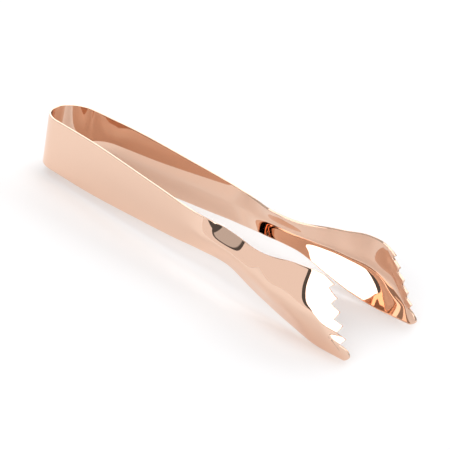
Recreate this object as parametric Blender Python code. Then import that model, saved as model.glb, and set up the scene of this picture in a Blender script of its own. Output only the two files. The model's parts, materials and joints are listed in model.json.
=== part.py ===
"""Ice tongs pressed from one strip of springy plated steel: a bow, two arms and two toothed claws.

The tongs stand on the strip's edge. +X runs from the bow to the claws, +Z runs across the strip,
and the left and right arms are mirror images in the XZ plane. Distances in the sizes below are in
millimetres and are measured along X from the back of the bow, or across from the mid plane.
"""

import math

import bmesh
import bpy
from mathutils import Vector

MM = 0.001

# ---- the strip
THICKNESS = 1.0            # steel strip, measured through
BOW_RADIUS = 11.0          # middle of the strip round the back of the bow
BOW_WIDTH = 21.8           # strip width at the bow and shoulders
SPLAY = 3.7                # degrees that each straight arm leans outwards

# ---- places along the tongs
SEAM_AT = 19.0             # where the bow's shoulder ends and the arm starts to swing
SHOULDER_END = 26.0        # the strip keeps its full width up to here
STRAIGHT_END = 88.0        # past here the arm curls inwards at its edges
NECK_AT = 110.5            # narrowest place, where the claw starts
CLAW_LENGTH = 46.5         # neck to the fold, along the middle of the claw

# ---- the neck
NECK_WIDTH = 11.8
NECK_CURL = 2.6            # how far the neck's edges curl inwards
NECK_LEAN = 0.9            # the neck's top edge leans in, and its bottom edge out, by this much
TAPER_BULGE = 0.3          # how far each edge of the arm bows out between shoulder and neck

# ---- the claw
CLAW_ABOVE = 12.5          # top edge above the mid plane, at its highest
CLAW_BELOW = 14.6          # bottom edge below it, at its lowest
CLAW_DEPTH = 5.2           # how deep the bowl is, from its edge to its floor
CLAW_LEAN = 0.9            # the bowl's top edge leans out, and its bottom edge in, by this much
FOLD_LEAN = 0.4            # at the fold it leans the other way, by this much
FOLD_DEPTH = 4.4           # how deep the bowl still is at the fold
DISH_ROUND = 0.2           # share of the half width that the bowl's floor is round over
DISH_CENTRE = 0.06         # share of the half width that the deepest line lies below the middle
CLAW_REACH = 8.0           # how far the bowl's floor stands outside the neck
FOLD_BACK = 0.9            # the floor has come back in by this much where it folds

# ---- the toothed lip beyond the fold
LIP_LENGTH = 9.2           # fold to tooth tips, at its longest
LIP_IN = 4.2               # how far the tooth tips stand inside the fold, at the middle
TIP_LEAN = 1.05            # the row of teeth leans in at its top end, and out at its toe
TOOTH_PITCH = 4.9
TOOTH_DEPTH = 2.8
TOOTH_COUNT = 5            # pointed teeth, counting the top corner; the toe below them is round
TOE_WIDTH = 6.0
TOOTH_LINE_TURN = 32.5     # degrees that the row of teeth leans from square across the strip
LAND = 0.8                 # flat left between the fold and the bottom of a tooth gap, where least

SEAM_GAP = 0.3             # space between two pieces that touch

COPPER = (0.86, 0.55, 0.43, 1.0)


def smooth_value(stations, at):
    """Read a smooth curve through (place, value) stations, with no overshoot between them."""
    if at <= stations[0][0]:
        return stations[0][1]
    if at >= stations[-1][0]:
        return stations[-1][1]
    steps = [(b[0] - a[0], (b[1] - a[1]) / (b[0] - a[0])) for a, b in zip(stations, stations[1:])]
    slopes = [steps[0][1]]
    for before, after in zip(steps, steps[1:]):
        if before[1] * after[1] <= 0.0:
            slopes.append(0.0)
        else:
            slopes.append((before[0] + after[0]) / (before[0] / after[1] + after[0] / before[1]))
    slopes.append(steps[-1][1])
    index = max(i for i in range(len(steps)) if stations[i][0] <= at)
    width = steps[index][0]
    t = (at - stations[index][0]) / width
    return ((2 * t**3 - 3 * t**2 + 1) * stations[index][1]
            + (t**3 - 2 * t**2 + t) * width * slopes[index]
            + (3 * t**2 - 2 * t**3) * stations[index + 1][1]
            + (t**3 - t**2) * width * slopes[index + 1])


# ---- lines that the pieces share
LEAN = math.radians(SPLAY)
ARC_END = Vector((BOW_RADIUS * (1 - math.sin(LEAN)), BOW_RADIUS * math.cos(LEAN)))


def straight_gap(x):
    """Half the space between the middles of the arms, on their straight stretch."""
    return ARC_END.y + (x - ARC_END.x) * math.tan(LEAN)


NECK_GAP = straight_gap(NECK_AT) + 0.3
FLOOR_GAP = NECK_GAP + CLAW_REACH
FOLD_GAP = FLOOR_GAP - FOLD_BACK

HALF_WIDTH = [(SHOULDER_END, BOW_WIDTH / 2),
              ((SHOULDER_END + NECK_AT) / 2, (BOW_WIDTH + NECK_WIDTH) / 4 + TAPER_BULGE),
              (NECK_AT - 6, NECK_WIDTH / 2 + 0.2),
              (NECK_AT, NECK_WIDTH / 2)]
ARM_CURL = [(STRAIGHT_END - 6, 0.0), (STRAIGHT_END + 10, NECK_CURL * 0.6),
            (NECK_AT - 5.5, NECK_CURL), (NECK_AT, NECK_CURL)]
ARM_LEAN = [(STRAIGHT_END + 2, 0.0), (NECK_AT - 6.5, NECK_LEAN), (NECK_AT, NECK_LEAN)]
ARM_GAP = [(STRAIGHT_END + 6, 0.0), (NECK_AT, NECK_GAP - straight_gap(NECK_AT))]

# the claw's stations run from 0 at the neck to 1 at the fold
CLAW_GAP = [(0.0, NECK_GAP), (0.3, NECK_GAP + CLAW_REACH * 0.46), (0.55, NECK_GAP + CLAW_REACH * 0.82),
            (0.82, FLOOR_GAP), (1.0, FOLD_GAP)]
CLAW_CURL = [(0.0, NECK_CURL), (0.12, NECK_CURL), (0.33, CLAW_DEPTH * 0.62), (0.65, CLAW_DEPTH),
             (1.0, FOLD_DEPTH)]
CLAW_TURN = [(0.0, NECK_LEAN), (0.12, NECK_LEAN), (0.46, -CLAW_LEAN), (0.7, -CLAW_LEAN), (1.0, FOLD_LEAN)]
CLAW_MIDDLE = [(0.0, 0.0), (0.42, -DISH_CENTRE), (1.0, -DISH_CENTRE)]
TOP_EDGE = [(0.0, NECK_WIDTH / 2), (0.12, NECK_WIDTH / 2), (0.5, CLAW_ABOVE * 0.71),
            (0.75, CLAW_ABOVE * 0.94), (0.92, CLAW_ABOVE), (1.0, CLAW_ABOVE * 0.98)]
BOTTOM_EDGE = [(0.0, NECK_WIDTH / 2), (0.11, NECK_WIDTH / 2 + 0.4), (0.41, CLAW_BELOW * 0.7),
               (0.63, CLAW_BELOW * 0.9), (0.83, CLAW_BELOW), (1.0, CLAW_BELOW * 0.965)]
# the lip is a crescent: this share of its greatest length is added to the least it can have
LIP_SHAPE = [(0.0, 0.06), (0.25, 0.76), (0.45, 1.0), (0.65, 0.69), (0.82, 0.0), (1.0, 0.0)]

# the row of teeth runs from the top corner down to the toe
TEETH_END = (TOOTH_COUNT - 0.5) * TOOTH_PITCH
ROW_LENGTH = TEETH_END + TOE_WIDTH
ROW_TURN = math.radians(TOOTH_LINE_TURN)
ROW_MIDDLE = 0.45 * ROW_LENGTH
ROW_START = Vector((NECK_AT + CLAW_LENGTH + LIP_LENGTH - ROW_MIDDLE * math.sin(ROW_TURN),
                    ROW_MIDDLE * math.cos(ROW_TURN) - 0.4))


def tooth_line(share):
    """The point on the line of tooth tips at this share of the row, counted from the top corner."""
    along = share * ROW_LENGTH
    x = ROW_START.x + along * math.sin(ROW_TURN)
    z = ROW_START.y - along * math.cos(ROW_TURN)
    return Vector((x, FOLD_GAP - LIP_IN - TIP_LEAN * (1 - 2 * share), z))


def fold_x(share):
    """Where the floor folds into the lip, at this share of the way from top edge to bottom edge."""
    least = TOOTH_DEPTH / math.cos(ROW_TURN) + LAND
    return tooth_line(share).x - least - (LIP_LENGTH - least) * smooth_value(LIP_SHAPE, share)


def tooth_cut(share):
    """How far the edge is cut back from the line of tooth tips."""
    along = share * ROW_LENGTH
    if along <= TEETH_END:
        phase = (along / TOOTH_PITCH) % 1.0
        return TOOTH_DEPTH * (1 - abs(1 - 2 * phase))
    across = 2 * (along - TEETH_END) / TOE_WIDTH - 1
    return TOOTH_DEPTH * abs(across)**2.5


def dish(across, centre):
    """The section of the channel and the bowl: two nearly flat flanks and a round bottom."""
    flank = math.hypot(across - centre, DISH_ROUND) - DISH_ROUND
    return flank / (math.hypot(1, DISH_ROUND) - DISH_ROUND)


def arm_point(x, across):
    """A point of the arm's middle surface; across runs from 1 at the top edge to -1."""
    gap = straight_gap(x) + smooth_value(ARM_GAP, x)
    inwards = smooth_value(ARM_CURL, x) * dish(across, 0.0) + smooth_value(ARM_LEAN, x) * across
    return Vector((x, gap - inwards, smooth_value(HALF_WIDTH, x) * across))


def bowl_point(along, share):
    """A point of the claw's bowl; along runs 0 to 1, share runs 0 at the top edge to 1."""
    across = 1 - 2 * share
    top = smooth_value(TOP_EDGE, along)
    bottom = -smooth_value(BOTTOM_EDGE, along)
    x = NECK_AT + CLAW_LENGTH * along + (fold_x(share) - NECK_AT - CLAW_LENGTH) * along**2
    curl = smooth_value(CLAW_CURL, along) * dish(across, smooth_value(CLAW_MIDDLE, along))
    gap = smooth_value(CLAW_GAP, along) - curl - smooth_value(CLAW_TURN, along) * across
    return Vector((x, gap, top + (bottom - top) * share))


def lip_point(along, share):
    """A point of the toothed lip; along runs from 0 at the fold to 1 at the cut edge."""
    fold = bowl_point(1.0, share)
    tip = tooth_line(share)
    slant = (tip - fold).length
    kept = 1 - tooth_cut(share) / math.cos(ROW_TURN) / slant
    return fold.lerp(tip, along * kept)


def metres(point, side):
    """Millimetres from the bow's back to metres, on the left (1) or the right (-1)."""
    return Vector((point.x, side * point.y, point.z)) * MM


def metal(name):
    """Polished copper-coloured plating."""
    material = bpy.data.materials.new(name)
    material.use_nodes = True
    shader = material.node_tree.nodes["Principled BSDF"]
    shader.inputs["Base Color"].default_value = COPPER
    shader.inputs["Metallic"].default_value = 1.0
    shader.inputs["Roughness"].default_value = 0.08
    return material


def strip_piece(name, rows, pivot=None, flip=False):
    """A closed piece of strip from rows of points on its middle surface."""
    work = bmesh.new()
    centre = pivot.location if pivot else Vector()
    verts = [[work.verts.new(point - centre) for point in row] for row in rows]
    for low, high in zip(verts, verts[1:]):
        for a, b, c, d in zip(low, low[1:], high[1:], high):
            work.faces.new((a, d, c, b) if flip else (a, b, c, d))
    mesh = bpy.data.meshes.new(name)
    work.to_mesh(mesh)
    work.free()
    mesh.shade_smooth()
    mesh.set_sharp_from_angle(angle=math.radians(35))
    mesh.materials.append(metal(name + "_metal"))
    piece = bpy.data.objects.new(name, mesh)
    bpy.context.collection.objects.link(piece)
    piece.parent = pivot
    body = piece.modifiers.new("strip", "SOLIDIFY")
    body.thickness = THICKNESS * MM
    body.offset = 0.0
    body.use_even_offset = True
    body.use_quality_normals = True
    return piece


def hinge(name, side):
    """An empty on the line that the arm swings about."""
    pivot = bpy.data.objects.new(name, None)
    bpy.context.collection.objects.link(pivot)
    pivot.location = metres(Vector((SEAM_AT, straight_gap(SEAM_AT), 0.0)), side)
    return pivot


def spread(start, end, count):
    """Evenly spaced values from start to end."""
    return [start + (end - start) * i / (count - 1) for i in range(count)]


def build_bow():
    """The bow and both shoulders, from the right seam round the back to the left seam."""
    half_gap = SEAM_GAP / 2
    shoulder = [Vector((x, straight_gap(x))) for x in spread(SEAM_AT - half_gap, ARC_END.x, 5)]
    angles = spread(math.pi / 2 + LEAN, 3 * math.pi / 2 - LEAN, 33)
    arc = [Vector((BOW_RADIUS * (1 + math.cos(a)), BOW_RADIUS * math.sin(a))) for a in angles]
    left = shoulder[:-1] + arc[:len(arc) // 2]
    path = left + [arc[len(arc) // 2]] + [Vector((p.x, -p.y)) for p in reversed(left)]
    heights = spread(-BOW_WIDTH / 2, BOW_WIDTH / 2, 5)
    rows = [[metres(Vector((p.x, p.y, z)), 1) for z in heights] for p in path]
    return strip_piece("spring_bow", rows, flip=True)


def build_arm(name, side, pivot):
    """The straight arm, from its seam with the shoulder to the neck."""
    places = spread(SEAM_AT + SEAM_GAP / 2, STRAIGHT_END - 10, 8)
    places += spread(STRAIGHT_END - 8, NECK_AT - SEAM_GAP / 2, 12)
    rows = [[metres(arm_point(x, across), side) for across in spread(-1, 1, 13)] for x in places]
    return strip_piece(name, rows, pivot, flip=side > 0)


def build_claw(name, side, pivot):
    """The bowl and its toothed lip."""
    row_places = spread(0, TEETH_END, int(TOOTH_COUNT * 8 - 3)) + spread(TEETH_END, ROW_LENGTH, 11)[1:]
    shares = [place / ROW_LENGTH for place in reversed(row_places)]
    start = SEAM_GAP / 2 / CLAW_LENGTH
    rows = [[bowl_point(along, share) for share in shares] for along in spread(start, 1.0, 19)]
    rows += [[lip_point(along, share) for share in shares] for along in spread(0.0, 1.0, 6)[1:]]
    rows = [[metres(point, side) for point in row] for row in rows]
    return strip_piece(name, rows, pivot, flip=side > 0)


def stand_on_base():
    """Move everything so that the origin is the middle of the base."""
    bpy.context.view_layer.update()
    graph = bpy.context.evaluated_depsgraph_get()
    pieces = [thing for thing in bpy.data.objects if thing.type == "MESH"]
    corners = [piece.matrix_world @ Vector(corner)
               for piece in pieces for corner in piece.evaluated_get(graph).bound_box]
    low = [min(corner[axis] for corner in corners) for axis in range(3)]
    high = [max(corner[axis] for corner in corners) for axis in range(3)]
    middle = Vector(((low[0] + high[0]) / 2, 0.0, low[2]))
    for thing in bpy.data.objects:
        if thing.parent is None:
            thing.location -= middle


def main():
    for old in list(bpy.data.objects):
        bpy.data.objects.remove(old)
    build_bow()
    for word, side in (("right", -1), ("left", 1)):
        pivot = hinge(word + "_hinge", side)
        build_arm(word + "_arm", side, pivot)
        build_claw(word + "_claw", side, pivot)
    stand_on_base()


main()
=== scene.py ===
# %% [markdown]
# # Ice tongs
# One strip of springy steel, bent round into a bow, with a cupped, toothed claw pressed into each
# end, then polished like a mirror and plated the colour of rose gold. This notebook dresses the
# imported model: it builds the strip again with round cut edges and surfaces smooth enough to mirror
# the studio, and lights it.

# %% Load the imported frame
import json
import math

import bmesh
import bpy
import numpy as np
from mathutils import Matrix, Vector


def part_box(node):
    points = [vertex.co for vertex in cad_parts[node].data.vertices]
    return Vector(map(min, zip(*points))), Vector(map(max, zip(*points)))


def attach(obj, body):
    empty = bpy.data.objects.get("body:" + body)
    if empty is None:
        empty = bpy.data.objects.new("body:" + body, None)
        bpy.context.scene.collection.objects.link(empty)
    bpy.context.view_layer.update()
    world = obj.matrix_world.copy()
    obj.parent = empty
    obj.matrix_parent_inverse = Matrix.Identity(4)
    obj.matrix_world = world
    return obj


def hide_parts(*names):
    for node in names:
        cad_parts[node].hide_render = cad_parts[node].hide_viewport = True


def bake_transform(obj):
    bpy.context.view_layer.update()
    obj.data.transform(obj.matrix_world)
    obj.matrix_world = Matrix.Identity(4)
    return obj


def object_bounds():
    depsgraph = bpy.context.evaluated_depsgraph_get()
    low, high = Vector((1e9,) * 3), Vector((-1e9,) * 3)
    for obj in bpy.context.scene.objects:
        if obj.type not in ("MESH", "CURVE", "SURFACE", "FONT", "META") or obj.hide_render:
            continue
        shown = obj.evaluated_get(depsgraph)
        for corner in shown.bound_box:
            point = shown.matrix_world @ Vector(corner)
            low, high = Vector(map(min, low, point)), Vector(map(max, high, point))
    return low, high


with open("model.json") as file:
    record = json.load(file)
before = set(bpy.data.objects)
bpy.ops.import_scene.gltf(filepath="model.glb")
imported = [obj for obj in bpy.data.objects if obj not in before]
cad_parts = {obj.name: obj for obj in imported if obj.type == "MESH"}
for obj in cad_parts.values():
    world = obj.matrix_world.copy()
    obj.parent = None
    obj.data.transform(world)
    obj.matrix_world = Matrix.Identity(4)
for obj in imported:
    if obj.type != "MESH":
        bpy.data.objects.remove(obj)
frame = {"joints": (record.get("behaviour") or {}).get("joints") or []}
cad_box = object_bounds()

# %% [markdown]
# ## Units and colours
# Sizes are written in millimetres, as a toolmaker would, and turned to metres once. Colours are
# written as the eye sees them, in sRGB hex, and turned to the linear values that shaders take.

# %% Millimetres and hex colours
MM = 0.001


def linear(hex_colour):
    """A hex colour as linear red, green, blue and alpha."""
    parts = [int(hex_colour[i:i + 2], 16) / 255 for i in (1, 3, 5)]
    return [c / 12.92 if c <= 0.04045 else ((c + 0.055) / 1.055) ** 2.4 for c in parts] + [1.0]


print("white is", linear("#FFFFFF"))

# %% [markdown]
# ## Building node trees
# Materials and Geometry Nodes trees are both made of nodes, so one helper adds a node, sets its
# options and fills its inputs with numbers or with links from other nodes.

# %% One helper for every node
def node(tree, kind, inputs=None, **options):
    """Adds a node; an input is a value, or another node's socket to link from."""
    made = tree.nodes.new(kind)
    for name, value in options.items():
        setattr(made, name, value)
    for name, value in (inputs or {}).items():
        if isinstance(value, bpy.types.NodeSocket):
            tree.links.new(value, made.inputs[name])
        else:
            made.inputs[name].default_value = value
    return made


def maths(tree, operation, *values):
    """A Math node's result."""
    return node(tree, "ShaderNodeMath", dict(enumerate(values)), operation=operation).outputs[0]


# %% [markdown]
# ## The plating
# Rose-gold plate is a copper-rich alloy over polished steel. It has no colour of its own apart from
# the tint of what it mirrors, so the shader is a metal with a copper tint and very low roughness.
# Two inner faces that mirror each other tint the light twice and go orange, which needs nothing
# extra here. What gives a real plated pressing away is tiny: a faint haze from handling, and a
# surface that isn't quite flat, so that reflections swim slightly. Both are noises on Object
# coordinates, one cell of noise about the size that the eye can pick out.

# %% Mirror-polished rose-gold plate
PLATE_TINT = "#ECCAB4"
HAZE_SIZE = 9.0 * MM       # patches of slightly duller polish
SWIM_SIZE = 16.0 * MM      # the slow unevenness left by the press and the buffing wheel
SWIM_HEIGHT = 0.004 * MM


def plate(name, tint, dull, bright, swim):
    """Plated metal whose polish runs from dull to bright in soft patches."""
    made = bpy.data.materials.new(name)
    made.use_nodes = True
    tree = made.node_tree
    shader = tree.nodes["Principled BSDF"]
    shader.inputs["Base Color"].default_value = linear(tint)
    shader.inputs["Metallic"].default_value = 1.0
    place = node(tree, "ShaderNodeTexCoord").outputs["Object"]
    haze = node(tree, "ShaderNodeTexNoise",
                {"Vector": place, "Scale": 1 / HAZE_SIZE, "Detail": 4.0, "Roughness": 0.6})
    polish = node(tree, "ShaderNodeMapRange",
                  {"Value": haze.outputs["Fac"], "From Min": 0.35, "From Max": 0.7,
                   "To Min": bright, "To Max": dull})
    tree.links.new(polish.outputs["Result"], shader.inputs["Roughness"])
    waves = node(tree, "ShaderNodeTexNoise",
                 {"Vector": place, "Scale": 1 / SWIM_SIZE, "Detail": 1.0})
    bump = node(tree, "ShaderNodeBump",
                {"Height": waves.outputs["Fac"], "Strength": 1.0, "Distance": swim})
    tree.links.new(bump.outputs["Normal"], shader.inputs["Normal"])
    return made


rose_plate = plate("rose_gold_plate", PLATE_TINT, 0.05, 0.02, SWIM_HEIGHT)
print("plate tint", [round(c, 3) for c in linear(PLATE_TINT)])

# %% [markdown]
# ## Where the strip lies
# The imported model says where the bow, the necks and the hinges are. The strip's own measures are
# distances along X from the back of the bow, or across from the mid plane. They are the ones that
# the solid model was made to, and the cell prints how far the two disagree.

# %% The strip's measures
THICKNESS = 1.0
BOW_RADIUS = 11.0          # middle of the strip round the back of the bow
SPLAY = math.radians(3.7)  # each arm leans outwards
EDGE_ROUND = 0.2           # the punched edges are tumbled and buffed round
JOIN_AT = 12.0             # where bow and arm pieces meet, on the flat shoulder
OVERLAP = 1.5              # each piece is made this much too long there, then cut off square
NECK_AT = 110.5            # narrowest place, where the claw starts
CLAW_LENGTH = 46.5         # neck to fold, along the middle
LIP_LENGTH = 9.2           # fold to tooth tips, at its longest
LIP_IN = 4.2               # how far the tooth tips stand inside the fold
LAND = 0.8                 # least flat left between the fold and a gap between teeth
TOOTH_PITCH = 4.9
TOOTH_DEPTH = 2.8
TOOTH_COUNT = 5            # counting the top corner
TOE_WIDTH = 6.0            # the round toe below the teeth
SQUARE_CUT = 0.8           # 1 cuts the teeth square to their row, 0 along the claw
ROW_TURN = math.radians(32.5)  # the row of teeth leans forward as it goes down

bow_low, bow_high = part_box("spring_bow")
strip_width = (bow_high.z - bow_low.z) / MM
arc_end = Vector((BOW_RADIUS * (1 - math.sin(SPLAY)), BOW_RADIUS * math.cos(SPLAY)))
origin = Vector((bow_low.x + THICKNESS / 2 * MM, 0.0, (bow_low.z + bow_high.z) / 2))


def straight_gap(x):
    """Half the space between the middles of the arms while they are straight."""
    return arc_end.y + (x - arc_end.x) * math.tan(SPLAY)


pivot = Vector(next(j for j in frame["joints"] if j["name"] == "left_flex")["pos_m"])
print("pivot is off by", round((pivot.y / MM) - straight_gap((pivot.x - origin.x) / MM), 4), "mm")
print("strip", round(strip_width, 2), "mm wide")

# %% [markdown]
# ## Geometry Nodes: sweeping the bow
# The bow follows a rule: straight shoulder, part circle, straight shoulder. So it is a line whose
# points are bent onto that path by a formula, and a strip section with rounded corners swept along
# it. Spinning a profile would make only the round part, and a Bezier curve is never quite a circle,
# which a mirror would show. Named inputs keep it editable.

# %% The bow tree
def new_tree(name, sizes):
    """A Geometry Nodes group with a mesh in, named sizes and a material, and a mesh out."""
    tree = bpy.data.node_groups.new(name, "GeometryNodeTree")
    tree.interface.new_socket("Geometry", in_out="INPUT", socket_type="NodeSocketGeometry")
    for size in sizes:
        tree.interface.new_socket(size, in_out="INPUT", socket_type="NodeSocketFloat")
    tree.interface.new_socket("Material", in_out="INPUT", socket_type="NodeSocketMaterial")
    tree.interface.new_socket("Geometry", in_out="OUTPUT", socket_type="NodeSocketGeometry")
    return tree, node(tree, "NodeGroupInput").outputs


def finish_tree(tree, geometry, material):
    """Ends a tree as the export needs it: real meshes with their material."""
    real = node(tree, "GeometryNodeRealizeInstances", {"Geometry": geometry})
    painted = node(tree, "GeometryNodeSetMaterial",
                   {"Geometry": real.outputs["Geometry"], "Material": material})
    node(tree, "NodeGroupOutput", {"Geometry": painted.outputs["Geometry"]})
    return tree


def bow_tree():
    """A strip swept round the bow's path."""
    tree, given = new_tree("sweep_bow", ["Radius", "Lean", "Shoulder", "Width", "Thickness",
                                         "Edge round"])
    quarter = maths(tree, "SUBTRACT", math.pi / 2, given["Lean"])
    arc = maths(tree, "MULTIPLY", quarter, given["Radius"])
    half = maths(tree, "ADD", arc, given["Shoulder"])
    ends = [node(tree, "ShaderNodeCombineXYZ", {"X": value}).outputs[0]
            for value in (maths(tree, "MULTIPLY", half, -1.0), half)]
    line = node(tree, "GeometryNodeCurvePrimitiveLine", {"Start": ends[0], "End": ends[1]})
    points = node(tree, "GeometryNodeResampleCurve", {"Curve": line.outputs["Curve"], "Count": 241})
    along = node(tree, "ShaderNodeSeparateXYZ",
                 {"Vector": node(tree, "GeometryNodeInputPosition").outputs[0]}).outputs["X"]
    side = maths(tree, "SIGN", along)
    run = maths(tree, "ABSOLUTE", along)
    angle = maths(tree, "DIVIDE", maths(tree, "MINIMUM", run, arc), given["Radius"])
    extra = maths(tree, "MAXIMUM", maths(tree, "SUBTRACT", run, arc), 0.0)
    round_x = maths(tree, "SUBTRACT", given["Radius"],
                    maths(tree, "MULTIPLY", given["Radius"], maths(tree, "COSINE", angle)))
    round_y = maths(tree, "MULTIPLY", given["Radius"], maths(tree, "SINE", angle))
    x = maths(tree, "MULTIPLY_ADD", extra, maths(tree, "COSINE", given["Lean"]), round_x)
    y = maths(tree, "MULTIPLY_ADD", extra, maths(tree, "SINE", given["Lean"]), round_y)
    place = node(tree, "ShaderNodeCombineXYZ", {"X": x, "Y": maths(tree, "MULTIPLY", y, side)})
    path = node(tree, "GeometryNodeSetPosition",
                {"Geometry": points.outputs["Curve"], "Position": place.outputs[0]})
    upright = node(tree, "GeometryNodeSetCurveNormal", {"Curve": path.outputs["Geometry"]},
                   mode="Z_UP")
    section = node(tree, "GeometryNodeCurvePrimitiveQuadrilateral",
                   {"Width": given["Thickness"], "Height": given["Width"]})
    rounded = node(tree, "GeometryNodeFilletCurve",
                   {"Curve": section.outputs["Curve"], "Radius": given["Edge round"], "Count": 4},
                   mode="POLY")
    swept = node(tree, "GeometryNodeCurveToMesh",
                 {"Curve": upright.outputs["Curve"], "Profile Curve": rounded.outputs["Curve"],
                  "Fill Caps": True})
    return finish_tree(tree, swept.outputs["Mesh"], given["Material"])


sweep_bow = bow_tree()
print("bow tree has", len(sweep_bow.nodes), "nodes")

# %% [markdown]
# ## From a tree to a plain mesh
# A modifier's inputs are set by each socket's identifier. The evaluated result is copied to a plain
# mesh and the modifiers are dropped, so that what is kept is only the finished piece.

# %% Running a tree and keeping its mesh
def add_nodes(thing, tree, sizes):
    """Puts the tree on the object with its named inputs filled."""
    modifier = thing.modifiers.new(tree.name, "NODES")
    modifier.node_group = tree
    for socket in tree.interface.items_tree:
        if socket.in_out == "INPUT" and socket.name in sizes:
            modifier[socket.identifier] = sizes[socket.name]
    return modifier


def settle(thing, place=Matrix(), crease=50.0):
    """Turns an object into its finished mesh, at the origin, shaded smooth up to the crease angle."""
    bpy.context.view_layer.update()
    graph = bpy.context.evaluated_depsgraph_get()
    mesh = bpy.data.meshes.new_from_object(thing.evaluated_get(graph), depsgraph=graph)
    mesh.name = thing.name
    thing.modifiers.clear()
    thing.data = mesh
    mesh.transform(place)
    trim(mesh)
    mesh.shade_smooth()
    mesh.set_sharp_from_angle(angle=math.radians(crease))
    return thing


def trim(mesh):
    """Cuts the piece off square at the join, on the side where most of it isn't, and closes the cut."""
    cut_x = origin.x + JOIN_AT * MM
    is_bow = min(vertex.co.x for vertex in mesh.vertices) < cut_x - 2 * OVERLAP * MM
    work = bmesh.new()
    work.from_mesh(mesh)
    bmesh.ops.bisect_plane(work, geom=work.verts[:] + work.edges[:] + work.faces[:], dist=1e-7,
                           plane_co=(cut_x, 0, 0), plane_no=(1, 0, 0),
                           clear_outer=is_bow, clear_inner=not is_bow)
    bmesh.ops.holes_fill(work, edges=[edge for edge in work.edges if edge.is_boundary])
    bmesh.ops.recalc_face_normals(work, faces=work.faces)
    work.to_mesh(mesh)
    work.free()


def blank(name):
    """An empty mesh object to build on."""
    thing = bpy.data.objects.new(name, bpy.data.meshes.new(name))
    bpy.context.scene.collection.objects.link(thing)
    return thing


# %% The bow
bow = blank("bow_strip")
add_nodes(bow, sweep_bow, {
    "Radius": BOW_RADIUS * MM, "Lean": SPLAY, "Width": strip_width * MM,
    "Shoulder": (JOIN_AT + OVERLAP - arc_end.x) / math.cos(SPLAY) * MM,
    "Thickness": THICKNESS * MM, "Edge round": EDGE_ROUND * MM, "Material": rose_plate})
settle(bow, Matrix.Translation(origin), crease=10)
print("bow has", len(bow.data.polygons), "faces")

# %% [markdown]
# ## Smooth rules for a mirror
# A mirror shows every change of curvature, so the arm's width, curl and spread can't be joined
# with straight runs or arcs. Each is a few (place, value) stations with a smooth line through them,
# which is then averaged over a short length, so that even its curvature has no steps.

# %% Smooth lines through stations
SOFTEN = 3.0               # mm over which each rule is averaged
FINENESS = 24              # samples in that length
TAPS = 61                  # samples that each average takes, an odd number


def smooth_line(stations, soften=SOFTEN):
    """A function of place that runs smoothly through the stations."""
    at = np.array([s[0] for s in stations], float)
    value = np.array([s[1] for s in stations], float)
    step = np.diff(at)
    rise = np.diff(value) / step
    slope = np.zeros(len(at))
    slope[0], slope[-1] = rise[0], rise[-1]
    for i in range(1, len(at) - 1):
        if rise[i - 1] * rise[i] > 0:
            slope[i] = (step[i - 1] + step[i]) / (step[i - 1] / rise[i] + step[i] / rise[i - 1])
    fine = np.arange(at[0] - 4 * soften, at[-1] + 4 * soften, soften / FINENESS)
    k = np.clip(np.searchsorted(at, fine) - 1, 0, len(step) - 1)
    t = (np.clip(fine, at[0], at[-1]) - at[k]) / step[k]
    line = ((2 * t**3 - 3 * t**2 + 1) * value[k] + (t**3 - 2 * t**2 + t) * step[k] * slope[k]
            + (3 * t**2 - 2 * t**3) * value[k + 1] + (t**3 - t**2) * step[k] * slope[k + 1])
    line += (fine - np.clip(fine, at[0], at[-1])) * np.where(fine < at[0], slope[0], slope[-1])
    weight = np.exp(-0.5 * np.linspace(-2.5, 2.5, TAPS) ** 2)
    padded = np.pad(line, TAPS // 2, mode="reflect", reflect_type="odd")
    soft = np.convolve(padded, weight / weight.sum(), mode="valid")
    return lambda place: np.interp(place, fine, soft)


print("a rule through (0, 0), (10, 1) gives", round(float(smooth_line([(0, 0), (10, 1)])(5)), 3), "at 5")

# %% [markdown]
# ## The rules of an arm and its claw
# Six rules are enough: how far each edge stands above or below the mid plane, how far the strip
# stands out from it, how far its edges curl inwards, how far the section leans, and how far its
# deepest line is off the middle. They all run along one distance, from the shoulder to the fold, so
# the arm, the channel at the neck and the bowl of the claw are one surface.

# %% The rules
NECK_HALF = 5.9            # half the width of the strip at the neck
NECK_CURL = 2.6            # how far the neck's edges curl in
NECK_LEAN = 0.9            # the neck's top edge leans in, and its bottom edge out
NECK_OUT = 0.3             # the neck stands this far outside the arm's straight line
EDGE_BULGE = 0.3           # how far each edge bows out between shoulder and neck
CLAW_ABOVE = 12.5          # top edge above the mid plane, at its highest
CLAW_BELOW = 14.6          # bottom edge below it, at its lowest
CLAW_DEPTH = 5.2           # bowl's edge to its bottom
CLAW_LEAN = 0.9            # the bowl leans the other way
CLAW_REACH = 8.0           # how far the bowl stands outside the neck
FOLD_BACK = 0.9            # it has come back in by this much at the fold
FOLD_LEAN = 0.4
FOLD_DEPTH = 4.4
DISH_CENTRE = -0.06        # share of the half width that the deepest line is off the middle
DISH_ROUND = 0.2           # share of the half width that the dish's bottom is round over
TIP_LEAN = 1.05            # the row of teeth leans in at its top end

fold_at = NECK_AT + CLAW_LENGTH
neck_gap = straight_gap(NECK_AT) + NECK_OUT
half_strip = strip_width / 2

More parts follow.
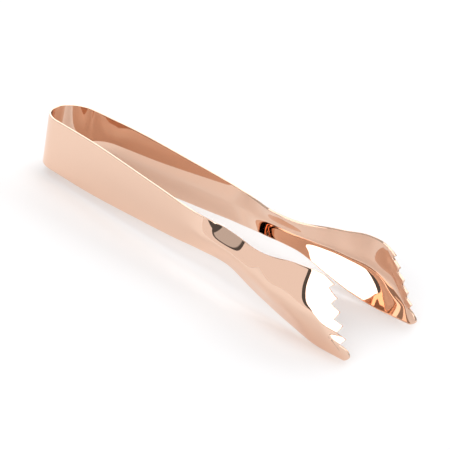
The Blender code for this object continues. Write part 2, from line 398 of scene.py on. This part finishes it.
shared = [(0.0, half_strip), (26.0, half_strip), (68.25, (half_strip + NECK_HALF) / 2 + EDGE_BULGE),
          (104.5, NECK_HALF + 0.2), (NECK_AT, NECK_HALF)]
top_edge = smooth_line(shared + [(116.1, NECK_HALF), (133.7, 8.9), (145.4, 0.94 * CLAW_ABOVE),
                                 (153.3, CLAW_ABOVE), (fold_at, 0.98 * CLAW_ABOVE)])
bottom_edge = smooth_line(shared + [(115.5, NECK_HALF + 0.4), (129.5, 10.2), (139.8, 13.1),
                                    (149.1, CLAW_BELOW), (fold_at, 14.1)])
stand_off = smooth_line([(0.0, straight_gap(0.0)), (50.0, straight_gap(50.0)),
                         (94.0, straight_gap(94.0)), (NECK_AT, neck_gap),
                         (124.5, neck_gap + 0.46 * CLAW_REACH),
                         (136.1, neck_gap + 0.82 * CLAW_REACH), (148.6, neck_gap + CLAW_REACH),
                         (fold_at, neck_gap + CLAW_REACH - FOLD_BACK)])
curl_in = smooth_line([(0.0, 0.0), (82.0, 0.0), (98.0, 0.6 * NECK_CURL), (105.0, NECK_CURL),
                       (116.0, NECK_CURL), (126.0, 0.62 * CLAW_DEPTH), (141.0, CLAW_DEPTH),
                       (fold_at, FOLD_DEPTH)])
lean_in = smooth_line([(0.0, 0.0), (90.0, 0.0), (104.0, NECK_LEAN), (116.0, NECK_LEAN),
                       (132.0, -CLAW_LEAN), (143.0, -CLAW_LEAN), (fold_at, FOLD_LEAN)])
dish_centre = smooth_line([(0.0, 0.0), (NECK_AT, 0.0), (130.0, DISH_CENTRE), (fold_at, DISH_CENTRE)])
print("neck is", round(float(top_edge(NECK_AT) + bottom_edge(NECK_AT)), 2), "mm wide")

# %% [markdown]
# ## The fold and the row of teeth
# Beyond the bowl the strip is folded inwards along a curved line, and the crescent outside the fold
# is cut to a row of saw teeth that ends in a round toe. The row leans, because the strip's end was
# cut on a slant. The lip is ruled: straight lines run from the fold to the line of the tooth tips.

# %% The row of tooth tips and the fold
ROW_DROP = 0.4             # the row's middle is this far below the mid plane
LIP_SOFTEN = 0.03          # share of the row over which the lip's crescent is averaged
teeth_end = (TOOTH_COUNT - 0.5) * TOOTH_PITCH
row_length = teeth_end + TOE_WIDTH
row_middle = 0.45 * row_length
row_start = (fold_at + LIP_LENGTH - row_middle * math.sin(ROW_TURN),
             row_middle * math.cos(ROW_TURN) - ROW_DROP)
fold_gap = neck_gap + CLAW_REACH - FOLD_BACK
least_lip = TOOTH_DEPTH / math.cos(ROW_TURN) + LAND
lip_share = smooth_line([(0.0, 0.06), (0.25, 0.76), (0.45, 1.0), (0.65, 0.69), (0.82, 0.0),
                         (1.0, 0.0)], LIP_SOFTEN)


def tip_line(share):
    """Points on the straight row of tooth tips; share runs from top corner to toe."""
    along = share * row_length
    gap = fold_gap - LIP_IN - TIP_LEAN * (1 - 2 * share)
    return np.stack([row_start[0] + along * math.sin(ROW_TURN), gap,
                     row_start[1] - along * math.cos(ROW_TURN)], -1)


def fold_x(share):
    """Where the bowl ends and the lip begins."""
    return tip_line(share)[..., 0] - least_lip - (LIP_LENGTH - least_lip) * lip_share(share)


print("row of teeth", round(row_length, 1), "mm long")

# %% [markdown]
# ## The strip's middle surface
# The arm is first a sheet with no thickness: a grid of points worked out from the rules. Every
# column is one line from the shoulder to the tooth tips. The fold is sharp in the rules, so each
# column is averaged over a short run there, which leaves the tight round bend of pressed steel.

# %% The grid of an arm
COLUMNS_PER_TOOTH = 8
TOE_COLUMNS = 12
ROW_STEP = 0.6             # from row to row along the arm
NEAR_FOLD = 5.8            # finer rows start this far before the fold
FOLD_ROWS = 40
LIP_ROWS = 30
CROWDING = 1.4             # above 1, the lip's rows crowd towards the fold
BEND = 0.9                 # how round the fold is


def shares_across():
    """Columns that fall on every tooth tip and every gap between teeth."""
    teeth = np.linspace(0.0, teeth_end, int(COLUMNS_PER_TOOTH * (TOOTH_COUNT - 0.5)) + 1)
    toe = np.linspace(teeth_end, row_length, TOE_COLUMNS + 1)[1:]
    return np.concatenate([teeth, toe]) / row_length


def dish(across, centre):
    """The section of the channel and the bowl: two nearly flat flanks and a round bottom."""
    return ((np.sqrt((across - centre)**2 + DISH_ROUND**2) - DISH_ROUND)
            / (math.hypot(1, DISH_ROUND) - DISH_ROUND))


def sheet_point(distance, share):
    """The middle surface, up to the fold, on the left side."""
    across = 1 - 2 * share
    into_claw = np.clip((distance - NECK_AT) / CLAW_LENGTH, 0.0, None)
    x = distance + (fold_x(share) - fold_at) * into_claw**2
    gap = (stand_off(distance) - curl_in(distance) * dish(across, dish_centre(distance))
           - lean_in(distance) * across)
    top, bottom = top_edge(distance), -bottom_edge(distance)
    return np.stack([x, gap, top + (bottom - top) * share], -1)


def unit(vectors):
    """The same directions, each of length 1."""
    return vectors / np.linalg.norm(vectors, axis=-1, keepdims=True)


def arm_sheet():
    """The middle surface, and each point's place in the tooth row, pull back and slide down it."""
    share = shares_across()[None, :]
    distance = np.concatenate([np.arange(JOIN_AT - OVERLAP, fold_at - NEAR_FOLD - 0.2, ROW_STEP),
                               np.linspace(fold_at - NEAR_FOLD, fold_at, FOLD_ROWS)])[:, None]
    before = sheet_point(distance, share)
    fold, tip = before[-1], tip_line(share[0])
    reach = np.linalg.norm(tip - fold, axis=-1)[None, :, None]
    run = (np.linspace(0.0, 1.0, LIP_ROWS + 1)[1:] ** CROWDING)[:, None, None]
    beyond = fold + (tip - fold) * run
    arriving, leaving = unit(fold - before[-2]), unit(tip - fold)
    past = np.concatenate([-np.linalg.norm(before - fold, axis=-1)[..., None], run * reach])
    corner = (np.sqrt(past**2 + BEND**2) - np.abs(past)) / 2
    points = np.concatenate([before, beyond]) + (leaving - arriving) * corner
    pull = np.concatenate([np.zeros_like(before), leaving[None] * run])
    place = np.broadcast_to(share * row_length, points.shape[:2])
    room = (reach / reach.max()) ** 2
    slide = np.concatenate([np.zeros_like(before), unit(tip[-1] - tip[0]) * run * room])
    return points, place, pull, slide


points, row_place, pull_back, slide_down = arm_sheet()
print("grid of", points.shape[0], "rows and", points.shape[1], "columns")

# %% [markdown]
# ## Geometry Nodes: cutting the saw teeth
# The teeth repeat at one pitch, so a tree cuts them. Each point of the lip carries three attributes:
# where it stands along the row, which way is back from the tips, and which way is down the row.
# Ping-pong, a maths operation that bounces a number between two ends, is a row of teeth in one node.
# A press cuts such teeth nearly square to their row, so what is pulled back also slides down it. The
# toe is a rounded nose, and the slide dies away across it.

# %% The saw tree
def saw_tree():
    """Pulls the edge of the lip back, and down the row, into pointed teeth and a round toe."""
    tree, given = new_tree("saw_teeth", ["Pitch", "Depth", "Slide", "Teeth end", "Toe width"])
    place = node(tree, "GeometryNodeInputNamedAttribute", {"Name": "row_place"},
                 data_type="FLOAT").outputs["Attribute"]
    pull = node(tree, "GeometryNodeInputNamedAttribute", {"Name": "pull_back"},
                data_type="FLOAT_VECTOR").outputs["Attribute"]
    half = maths(tree, "MULTIPLY", given["Pitch"], 0.5)
    tooth = maths(tree, "DIVIDE", maths(tree, "PINGPONG", place, half), half)
    past = maths(tree, "SUBTRACT", place, given["Teeth end"])
    over = maths(tree, "DIVIDE", maths(tree, "MULTIPLY", past, 2.0), given["Toe width"])
    nose = maths(tree, "POWER", maths(tree, "ABSOLUTE", maths(tree, "SUBTRACT", over, 1.0)), 2.5)
    in_toe = maths(tree, "GREATER_THAN", past, 0.0)
    kept = maths(tree, "MULTIPLY", tooth, maths(tree, "SUBTRACT", 1.0, in_toe))
    share = maths(tree, "MULTIPLY_ADD", nose, in_toe, kept)
    depth = maths(tree, "MULTIPLY", maths(tree, "MULTIPLY", share, given["Depth"]), -1.0)
    back = node(tree, "ShaderNodeVectorMath", {0: pull, "Scale": depth}, operation="SCALE")
    down = node(tree, "GeometryNodeInputNamedAttribute", {"Name": "slide_down"},
                data_type="FLOAT_VECTOR").outputs["Attribute"]
    left_of_toe = maths(tree, "SUBTRACT", 1.0, maths(tree, "DIVIDE", past, given["Toe width"]))
    ease = maths(tree, "MULTIPLY", maths(tree, "MULTIPLY", left_of_toe, left_of_toe), in_toe)
    slide = maths(tree, "MULTIPLY", maths(tree, "ADD", kept, ease), given["Slide"])
    along = node(tree, "ShaderNodeVectorMath", {0: down, "Scale": slide}, operation="SCALE")
    offset = node(tree, "ShaderNodeVectorMath", {0: back.outputs[0], 1: along.outputs[0]},
                  operation="ADD")
    moved = node(tree, "GeometryNodeSetPosition",
                 {"Geometry": given["Geometry"], "Offset": offset.outputs[0]})
    return finish_tree(tree, moved.outputs["Geometry"], given["Material"])


saw_teeth = saw_tree()
print("saw tree has", len(saw_teeth.nodes), "nodes")

# %% [markdown]
# ## Giving the sheet its thickness
# Solidify thickens the sheet equally to both sides, and Bevel rounds the punched edges. The mirror
# image is built from mirrored points, not by a negative scale, so that its faces still look outwards.

# %% Making one arm
def make_arm(name, side):
    """One arm with its claw, from the flat shoulder to the teeth."""
    thing = blank(name)
    low, wide = points.shape[:2]
    local = (points * [1, side, 1]).reshape(-1, 3) * MM + np.array(origin)
    index = np.arange(low * wide).reshape(low, wide)
    corners = np.stack([index[:-1, :-1], index[1:, :-1], index[1:, 1:], index[:-1, 1:]], -1)
    faces = corners.reshape(-1, 4)[:, ::side]
    thing.data.from_pydata(local.tolist(), [], faces.tolist())
    spot = thing.data.attributes.new("row_place", "FLOAT", "POINT")
    spot.data.foreach_set("value", (row_place * MM).astype(np.float32).ravel())
    pull = thing.data.attributes.new("pull_back", "FLOAT_VECTOR", "POINT")
    pull.data.foreach_set("vector", (pull_back * [1, side, 1]).astype(np.float32).ravel())
    down = thing.data.attributes.new("slide_down", "FLOAT_VECTOR", "POINT")
    down.data.foreach_set("vector", (slide_down * [1, side, 1]).astype(np.float32).ravel())
    add_nodes(thing, saw_teeth, {
        "Pitch": TOOTH_PITCH * MM, "Depth": TOOTH_DEPTH / math.cos(ROW_TURN) * MM,
        "Slide": SQUARE_CUT * TOOTH_DEPTH * math.tan(ROW_TURN) * MM, "Teeth end": teeth_end * MM,
        "Toe width": TOE_WIDTH * MM, "Material": rose_plate})
    solid = thing.modifiers.new("thickness", "SOLIDIFY")
    solid.thickness = THICKNESS * MM
    solid.offset = 0.0
    solid.use_even_offset = True
    solid.use_quality_normals = True
    edge = thing.modifiers.new("round_edges", "BEVEL")
    edge.width = EDGE_ROUND * MM
    edge.segments = 3
    edge.limit_method = "ANGLE"
    edge.angle_limit = math.radians(40)
    edge.use_clamp_overlap = False
    settle(thing)
    for attribute in ("row_place", "pull_back", "slide_down"):
        thing.data.attributes.remove(thing.data.attributes[attribute])
    return thing


left_arm = make_arm("left_arm_strip", 1)
right_arm = make_arm("right_arm_strip", -1)
print("each arm has", len(left_arm.data.polygons), "faces")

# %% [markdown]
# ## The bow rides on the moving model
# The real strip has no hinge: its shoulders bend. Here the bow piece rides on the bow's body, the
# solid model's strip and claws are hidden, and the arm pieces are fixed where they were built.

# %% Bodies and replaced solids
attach(bow, "bow")
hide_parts("spring_bow")
for arm, word in ((left_arm, "left"), (right_arm, "right")):
    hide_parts(word + "_arm", word + "_claw")
    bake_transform(arm)

# %% [markdown]
# ## The floor
# A mirror is only as good as what it mirrors, and these tongs mirror the floor more than anything
# else. It is a sheet of matt white paper: no gloss that the eye can find, and a texture too fine to
# show. It stands a hair below the tongs, so that the two never share a plane.

# %% The floor
FLOOR_SIDE = 4.0
FLOOR_DROP = 0.0002


def matte(name, hex_colour, glow=0.0):
    """Paper or painted board: dull and even, or glowing instead if glow is set."""
    made = bpy.data.materials.new(name)
    made.use_nodes = True
    shader = made.node_tree.nodes["Principled BSDF"]
    shader.inputs["Base Color"].default_value = linear("#000000" if glow else hex_colour)
    shader.inputs["Roughness"].default_value = 0.9
    shader.inputs["Specular IOR Level"].default_value = 0.1
    shader.inputs["Emission Color"].default_value = linear(hex_colour)
    shader.inputs["Emission Strength"].default_value = glow
    return made


low, high = (Vector(corner) for corner in cad_box)
middle = (low + high) / 2
bpy.ops.mesh.primitive_plane_add(size=FLOOR_SIDE, location=(middle.x, middle.y, low.z - FLOOR_DROP))
floor = bpy.context.object
floor.name = "floor"
floor.data.materials.append(matte("paper", "#F7F7F8"))
print("floor at", round(floor.location.z / MM, 2), "mm")

# %% [markdown]
# ## Lights and screens
# Lights and screens stand round the tongs as on a dome, so each is placed by its direction: azimuth
# 0 is in front and turns to the right, and elevation is the height above the floor, both in degrees.
# A softbox's brightness is what the mirror shows of it, where 1 is white.

# %% Helpers that place them
ROOM = 1.6                 # metres from the tongs to the lights and the wall
FAR = 1.2 * ROOM           # the other screens stand behind them
SCREEN_ROWS = 8
SCREEN_COLUMNS = 24


def toward(azimuth, elevation, distance):
    """A point at this distance from the object, in this direction."""
    a, e = math.radians(azimuth), math.radians(elevation)
    return middle + distance * Vector((math.sin(a) * math.cos(e), -math.cos(a) * math.cos(e),
                                       math.sin(e)))


def softbox(name, azimuth, elevation, across, tall, brightness, roll=0):
    """A soft light that faces the object and spans so many degrees as the object sees it."""
    light = bpy.data.lights.new(name, "AREA")
    light.shape = "RECTANGLE"
    light.size = 2 * ROOM * math.tan(math.radians(across / 2))
    light.size_y = 2 * ROOM * math.tan(math.radians(tall / 2))
    light.energy = 4 * light.size * light.size_y * brightness
    made = bpy.data.objects.new(name, light)
    bpy.context.scene.collection.objects.link(made)
    place = toward(azimuth, elevation, ROOM)
    made.matrix_world = (Matrix.Translation(place)
                         @ (place - middle).to_track_quat("Z", "Y").to_matrix().to_4x4()
                         @ Matrix.Rotation(math.radians(roll), 4, "Z"))
    made.visible_camera = False


def screen(name, corners, away, hex_colour, brightness):
    """Part of a glowing dome; its corners are (azimuth, elevation), round from bottom left."""
    made = bpy.data.objects.new(name, bpy.data.meshes.new(name))
    bpy.context.scene.collection.objects.link(made)
    low_left, low_right, high_right, high_left = (np.array(corner) for corner in corners)
    spots = []
    for up in np.linspace(0, 1, SCREEN_ROWS + 1):
        for across in np.linspace(0, 1, SCREEN_COLUMNS + 1):
            low_end = low_left + (low_right - low_left) * across
            high_end = high_left + (high_right - high_left) * across
            spots.append(toward(*(low_end + (high_end - low_end) * up), away))
    wide = SCREEN_COLUMNS + 1
    faces = [(i * wide + j, i * wide + j + 1, (i + 1) * wide + j + 1, (i + 1) * wide + j)
             for i in range(SCREEN_ROWS) for j in range(SCREEN_COLUMNS)]
    made.data.from_pydata(spots, [], faces)
    made.data.materials.append(matte(name + "_paper", hex_colour, brightness))
    made.visible_camera = False


print("lights stand", ROOM, "m away, and screens", round(FAR, 2), "m")

# %% [markdown]
# ## The studio
# The biggest light hangs to the front right: it is what the lip and the bowls mirror as white. Weaker
# ones hang overhead, for the floor between the arms, and behind, for the top edges. To the front left
# stands a pale wall, which gives the claw its even tan. What isn't lit is dark, and draws the thin
# dark lines that make metal look like metal: a strip along the wall's top, seen at the neck, the gap
# between wall and light, seen where the fold turns, and the back of the room, seen in the cut edges.
# Over the wall is a dim ceiling, and the rest of the room is a little dimmer.

# %% Lights and screens
WHITE = "#FFFFFF"
DARK = 0.1

softbox("front_right_box", 11, 22, 44, 42, brightness=2.3, roll=10)
softbox("top_box", 0, 86, 56, 56, brightness=0.95)
softbox("back_box", -170, 31, 84, 40, brightness=1.3)
screen("left_wall", [(-105, -2), (-5, -2), (-22, 18), (-105, 18)], ROOM, "#FFFAF9", 0.99)
screen("left_flag", [(-110, -2), (-30, -2), (-30, 20.5), (-110, 20.5)], FAR, WHITE, DARK)
screen("left_ceiling", [(-110, 21), (-30, 21), (-30, 60), (-110, 60)], FAR, WHITE, 0.62)
screen("gap_flag", [(-30, -2), (6, -2), (6, 44), (-30, 36)], FAR, WHITE, DARK)
screen("back_flag", [(130, -2), (230, -2), (230, 13), (130, 13)], FAR, WHITE, DARK)

world = bpy.data.worlds.new("studio")
bpy.context.scene.world = world
world.use_nodes = True
background = world.node_tree.nodes["Background"]
background.inputs["Color"].default_value = linear(WHITE)
background.inputs["Strength"].default_value = 0.42

# %% [markdown]
# ## The camera
# A long lens a little over half a metre away, looking down on the tongs from the front right, and
# turned a little about its own axis, so that the tongs run down from top left to bottom right.

# %% The camera
CAMERA_AZIMUTH = 35.2
CAMERA_HEIGHT = 26.27
CAMERA_AWAY = 0.5644       # metres
CAMERA_ROLL = math.radians(11.08)
AIM_OFF = Vector((14.7, -9.2, 5.3)) * MM   # the aim from the middle of the tongs

lens = bpy.data.cameras.new("camera")
lens.lens = 119.8
lens.sensor_width = 36.0
lens.clip_start = 0.01
camera = bpy.data.objects.new("camera", lens)
bpy.context.scene.collection.objects.link(camera)
spot = toward(CAMERA_AZIMUTH, CAMERA_HEIGHT, CAMERA_AWAY) + AIM_OFF
look = (middle + AIM_OFF - spot).to_track_quat("-Z", "Y").to_matrix().to_4x4()
camera.matrix_world = Matrix.Translation(spot) @ look @ Matrix.Rotation(CAMERA_ROLL, 4, "Z")
bpy.context.scene.camera = camera
bpy.context.scene.view_settings.view_transform = "Standard"
print("camera at", [round(v, 3) for v in spot])
